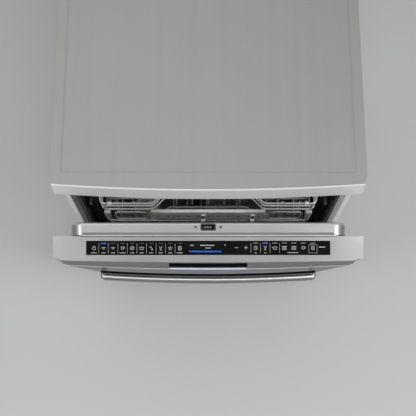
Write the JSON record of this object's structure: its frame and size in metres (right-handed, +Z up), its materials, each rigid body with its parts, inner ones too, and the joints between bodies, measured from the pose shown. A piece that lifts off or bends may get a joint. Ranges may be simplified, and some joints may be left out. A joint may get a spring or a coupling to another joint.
{
  "type": "dishwasher",
  "caption": "Freestanding dishwasher with a silver worktop, a touch strip along the top edge of its slightly open door, a bowed bar handle and wire racks inside.",
  "frame": {"origin": "on the floor, under the middle of the whole machine's box as it stands with the door ajar", "axes": "+Z up, +Y towards the back of the machine, +X to the right of someone who faces its door"},
  "size_m": [0.6, 0.7535, 0.845],
  "materials": {
    "worktop_laminate": "satin silver laminate on board",
    "trim_metal": "satin",
    "cabinet_steel": "satin",
    "galvanised_steel": "dull zinc",
    "black_plastic": "matte",
    "dark_metal": "satin",
    "tub_steel": "bright satin",
    "black_rubber": "matte",
    "grey_plastic": "matte",
    "white_plastic": "matte",
    "bright_metal": "polished",
    "door_steel": "satin",
    "fascia_metal": "satin",
    "black_glass": "gloss",
    "circuit_board": "matte",
    "handle_metal": "satin",
    "insulation_felt": "felt",
    "rack_wire": "satin coated",
    "blue_grey_plastic": "matte",
    "cord_fibre": "woven"
  },
  "bodies": {
    "cabinet": {"worktop": "worktop_laminate", "worktop_front_trim": "trim_metal", "left_side_panel": "cabinet_steel", "right_side_panel": "cabinet_steel", "back_panel": "galvanised_steel", "base_tray": "black_plastic", "plinth": "dark_metal", "levelling_feet": "black_plastic", "tub_wrapper": "tub_steel", "tub_back": "tub_steel", "tub_floor": "tub_steel", "tub_seal": "black_rubber", "sump": "grey_plastic", "filter_plate": "tub_steel", "circulation_pump": "black_plastic", "drain_pump": "black_plastic", "softener": "white_plastic", "inlet_valve": "white_plastic", "power_inlet": "black_plastic", "hinge_brackets": "galvanised_steel", "door_springs": "galvanised_steel", "upper_rails": "tub_steel", "riser_pipe": "grey_plastic", "ceiling_sprayer": "grey_plastic", "cabinet_screws": "bright_metal"},
    "door": {"door_panel": "door_steel", "door_liner": "tub_steel", "fascia": "fascia_metal", "control_glass": "black_glass", "display_window": "black_glass", "control_board": "circuit_board", "handle": "handle_metal", "hinge_arms": "galvanised_steel", "door_insulation": "insulation_felt", "liner_edge_trim": "black_rubber", "latch_plate": "black_plastic", "dispenser": "grey_plastic", "door_screws": "bright_metal"},
    "upper_rack": {"upper_rack": "rack_wire", "upper_rack_grip": "bright_metal", "upper_rack_runners": "grey_plastic", "spray_feed_tube": "grey_plastic"},
    "lower_rack": {"lower_rack": "rack_wire", "cutlery_basket": "grey_plastic"},
    "front_wheels": {"front_rack_wheels": "grey_plastic"},
    "rear_wheels": {"rear_rack_wheels": "grey_plastic"},
    "upper_arm": {"upper_spray_arm": "grey_plastic"},
    "lower_arm": {"lower_spray_arm": "grey_plastic"},
    "left_shelf": {"left_cup_shelf": "grey_plastic"},
    "right_shelf": {"right_cup_shelf": "grey_plastic"},
    "left_lever": {"left_lift_lever": "blue_grey_plastic"},
    "right_lever": {"right_lift_lever": "blue_grey_plastic"},
    "front_tines": {"front_tine_row": "rack_wire"},
    "rear_tines": {"rear_tine_row": "rack_wire"},
    "filter": {"filter_cup": "grey_plastic"},
    "salt_lid": {"salt_cap": "white_plastic"},
    "cords": {"spring_cords": "cord_fibre"},
    "hook": {"latch_hook": "galvanised_steel"},
    "detergent_lid": {"dispenser_lid": "blue_grey_plastic"},
    "rinse_lid": {"rinse_aid_cap": "blue_grey_plastic"}
  },
  "joints": [
    {"name": "door_hinge", "type": "hinge", "parent": "cabinet", "child": "door", "pos_m": [0, -0.19103, 0.122], "axis": [1, 0, 0], "range_deg": [-10.1, 79.9]},
    {"name": "upper_rack_slide", "type": "slide", "parent": "cabinet", "child": "upper_rack", "axis": [0, -1, 0], "range_m": [-0.0506, 0.3996]},
    {"name": "lower_rack_slide", "type": "slide", "parent": "cabinet", "child": "lower_rack", "axis": [0, -1, 0], "range_m": [-0.00868, 0.06802]},
    {"name": "front_wheels_roll", "type": "hinge", "parent": "lower_rack", "child": "front_wheels", "pos_m": [0, -0.11161, 0.179], "axis": [1, 0, 0], "continuous": true},
    {"name": "rear_wheels_roll", "type": "hinge", "parent": "lower_rack", "child": "rear_wheels", "pos_m": [0, 0.27219, 0.179], "axis": [1, 0, 0], "continuous": true},
    {"name": "spring_cords_pull", "type": "slide", "parent": "cabinet", "child": "cords", "axis": [0, -1, 0], "range_m": [-0.00504, 0.03915]},
    {"name": "upper_arm_spin", "type": "hinge", "parent": "upper_rack", "child": "upper_arm", "pos_m": [0, 0.04587, 0.4697], "axis": [0, 0, 1], "continuous": true},
    {"name": "lower_arm_spin", "type": "hinge", "parent": "cabinet", "child": "lower_arm", "pos_m": [0, 0.08488, 0.168], "axis": [0, 0, 1], "continuous": true},
    {"name": "left_shelf_fold", "type": "hinge", "parent": "upper_rack", "child": "left_shelf", "pos_m": [-0.2257, 0.04587, 0.585], "axis": [0, 1, 0], "range_deg": [0, 90]},
    {"name": "right_shelf_fold", "type": "hinge", "parent": "upper_rack", "child": "right_shelf", "pos_m": [0.2257, 0.04587, 0.585], "axis": [0, -1, 0], "range_deg": [0, 90]},
    {"name": "left_lever_squeeze", "type": "hinge", "parent": "upper_rack", "child": "left_lever", "pos_m": [-0.24185, -0.03093, 0.563], "axis": [0, 0, 1], "range_deg": [0, 5], "stiffness_Nm_per_rad": 0.3, "springref_deg": -2.86},
    {"name": "right_lever_squeeze", "type": "hinge", "parent": "upper_rack", "child": "right_lever", "pos_m": [0.24185, -0.03093, 0.563], "axis": [0, 0, -1], "range_deg": [0, 5], "stiffness_Nm_per_rad": 0.3, "springref_deg": -2.86},
    {"name": "front_tines_fold", "type": "hinge", "parent": "lower_rack", "child": "front_tines", "pos_m": [0, 0.02543, 0.1949], "axis": [-1, 0, 0], "range_deg": [0, 85]},
    {"name": "rear_tines_fold", "type": "hinge", "parent": "lower_rack", "child": "rear_tines", "pos_m": [0, 0.1581, 0.1949], "axis": [-1, 0, 0], "range_deg": [0, 85]},
    {"name": "filter_turn", "type": "hinge", "parent": "cabinet", "child": "filter", "pos_m": [0.12, 0.08488, 0.15], "axis": [0, 0, 1], "range_deg": [0, 90]},
    {"name": "salt_cap_turn", "type": "hinge", "parent": "cabinet", "child": "salt_lid", "pos_m": [-0.1655, -0.06703, 0.15], "axis": [0, 0, 1], "range_deg": [0, 90]},
    {"name": "latch_hook_drop", "type": "hinge", "parent": "cabinet", "child": "hook", "pos_m": [0, -0.10303, 0.8005], "axis": [1, 0, 0], "range_deg": [0, 8], "stiffness_Nm_per_rad": 0.3, "springref_deg": -5.73},
    {"name": "detergent_lid_slide", "type": "slide", "parent": "door", "child": "detergent_lid", "axis": [1, 0, 0], "range_m": [0, 0.082]},
    {"name": "rinse_lid_open", "type": "hinge", "parent": "door", "child": "rinse_lid", "pos_m": [0.075, -0.20888, 0.45604], "axis": [-1, 0, 0], "range_deg": [0, 100]}
  ],
  "couplings": [
    {"joint": "upper_rack_slide", "follows": "door_hinge", "m_per_rad": 0.28648},
    {"joint": "lower_rack_slide", "follows": "door_hinge", "m_per_rad": 0.048701},
    {"joint": "front_wheels_roll", "follows": "door_hinge", "ratio": 3.4787},
    {"joint": "rear_wheels_roll", "follows": "door_hinge", "ratio": 3.4787},
    {"joint": "spring_cords_pull", "follows": "door_hinge", "m_per_rad": 0.028}
  ]
}
